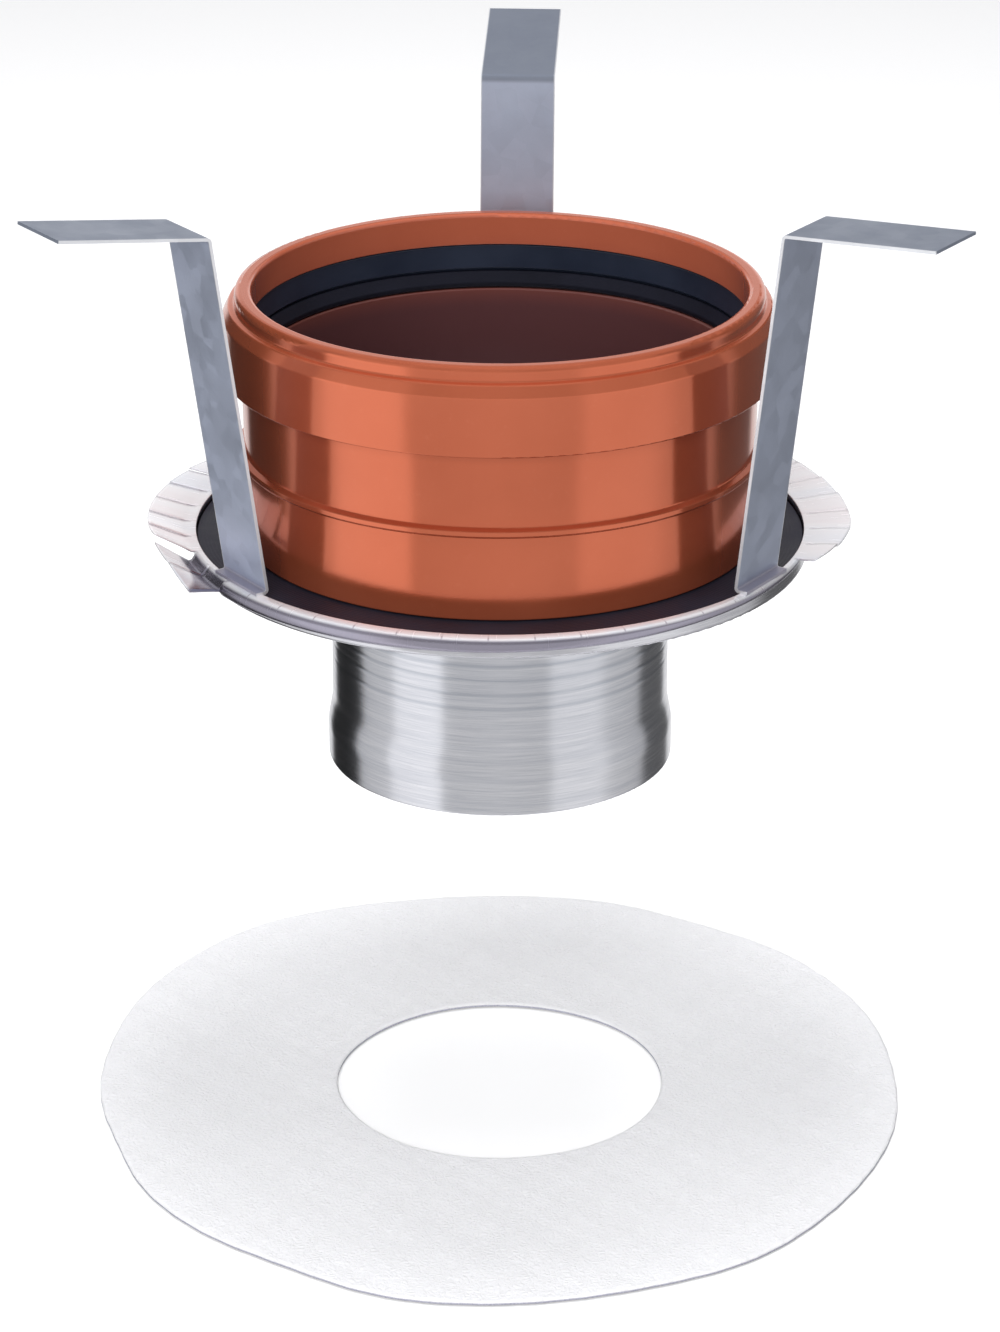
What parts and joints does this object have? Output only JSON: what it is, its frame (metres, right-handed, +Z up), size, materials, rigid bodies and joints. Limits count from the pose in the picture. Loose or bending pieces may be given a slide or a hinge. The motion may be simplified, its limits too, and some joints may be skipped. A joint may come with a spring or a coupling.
{
  "type": "toilet flange",
  "caption": "Drain connector hung in a cored slab hole: push-fit socket with lip seal in a spun pan, slit collar, outlet tube, bent hanger straps and a loose fleece ring.",
  "frame": {"origin": "on the pipe axis, in the plane of the pan's opening, which is where the slit collar meets the cored hole", "axes": "+Z up along the pipe axis, towards the socket's mouth. +Y runs towards the back strap, which stands 3 degrees off it."},
  "size_m": [0.2954, 0.3176, 0.3498],
  "materials": {
    "socket_pvc": "gloss, moulded",
    "seal_rubber": "satin",
    "retainer_plastic": "satin",
    "pan_metal": "spun, polished",
    "spigot_metal": "turned, fine rings",
    "base_rubber": "matt",
    "collar_metal": "thin bright sheet",
    "strap_steel": "galvanised",
    "fleece": "needled nonwoven"
  },
  "bodies": {
    "outlet": {"outlet_pan": "pan_metal", "outlet_spigot": "spigot_metal", "base_seal": "base_rubber", "lamella_collar": "collar_metal", "strap_back": "strap_steel", "strap_left": "strap_steel", "strap_right": "strap_steel"},
    "socket": {"pvc_socket": "socket_pvc", "lip_seal": "seal_rubber", "seal_retaining_ring": "retainer_plastic"},
    "fleece": {"fleece_ring": "fleece"}
  },
  "joints": [
    {"name": "socket_lift", "type": "slide", "parent": "outlet", "child": "socket", "axis": [0, 0, 1], "range_m": [0, 0.1]},
    {"name": "fleece_slide", "type": "slide", "parent": "outlet", "child": "fleece", "axis": [0, 0, 1], "range_m": [0, 0.1865]}
  ]
}
